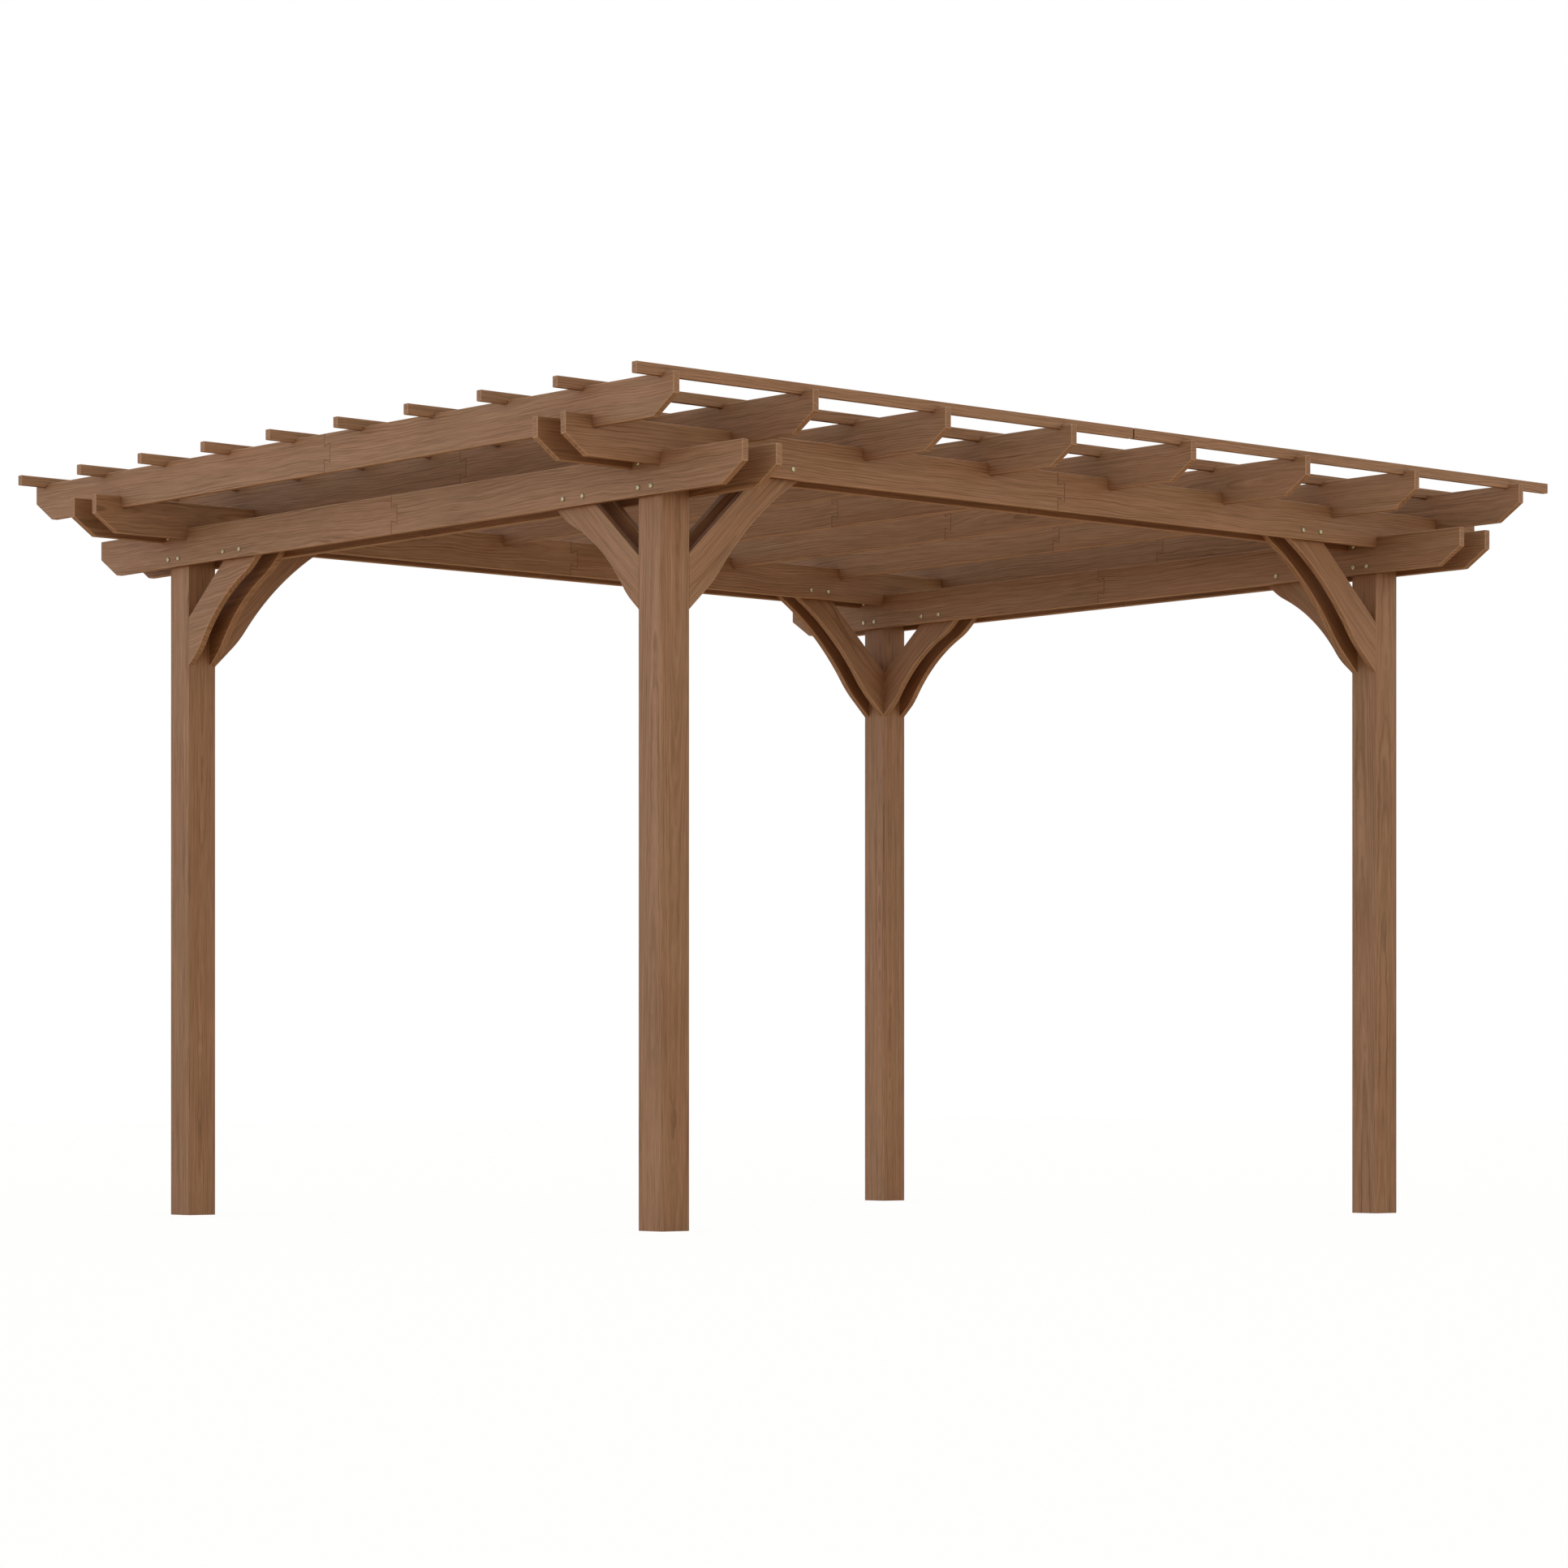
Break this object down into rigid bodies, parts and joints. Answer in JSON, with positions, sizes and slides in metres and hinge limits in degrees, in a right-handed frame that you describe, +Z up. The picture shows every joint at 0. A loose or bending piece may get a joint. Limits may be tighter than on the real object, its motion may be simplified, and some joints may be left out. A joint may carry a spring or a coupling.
{
  "type": "wooden pergola",
  "caption": "Free standing wooden pergola with square posts, paired notched beams, rafters, battens and arched knee braces.",
  "frame": {"origin": "ground level, at the centre of the four posts and of the roof", "axes": "+X along the upper beams and battens (the long side), +Y along the lower beams and rafters, +Z up"},
  "size_m": [3.6576, 3.048, 2.258],
  "materials": {
    "post_timber": "stained planed softwood",
    "lower_beam_timber": "stained planed softwood",
    "upper_beam_timber": "stained planed softwood",
    "rafter_timber": "stained planed softwood",
    "batten_timber": "stained planed softwood",
    "brace_timber": "stained planed softwood"
  },
  "bodies": {
    "root": {"batten_1": "batten_timber", "batten_10": "batten_timber", "batten_2": "batten_timber", "batten_3": "batten_timber", "batten_4": "batten_timber", "batten_5": "batten_timber", "batten_6": "batten_timber", "batten_7": "batten_timber", "batten_8": "batten_timber", "batten_9": "batten_timber", "cross_brace_back": "brace_timber", "cross_brace_near": "brace_timber", "cross_brace_near_left": "brace_timber", "cross_brace_near_right": "brace_timber", "long_brace_back": "brace_timber", "long_brace_near": "brace_timber", "long_brace_near_left": "brace_timber", "long_brace_near_right": "brace_timber", "lower_beam_1": "lower_beam_timber", "lower_beam_2": "lower_beam_timber", "lower_beam_3": "lower_beam_timber", "lower_beam_4": "lower_beam_timber", "post_back": "post_timber", "post_near": "post_timber", "post_near_left": "post_timber", "post_near_right": "post_timber", "rafter_1": "rafter_timber", "rafter_2": "rafter_timber", "rafter_3": "rafter_timber", "rafter_4": "rafter_timber", "rafter_5": "rafter_timber", "rafter_6": "rafter_timber", "rafter_7": "rafter_timber", "rafter_8": "rafter_timber", "upper_beam_1": "upper_beam_timber", "upper_beam_2": "upper_beam_timber", "upper_beam_3": "upper_beam_timber", "upper_beam_4": "upper_beam_timber"}
  },
  "joints": []
}
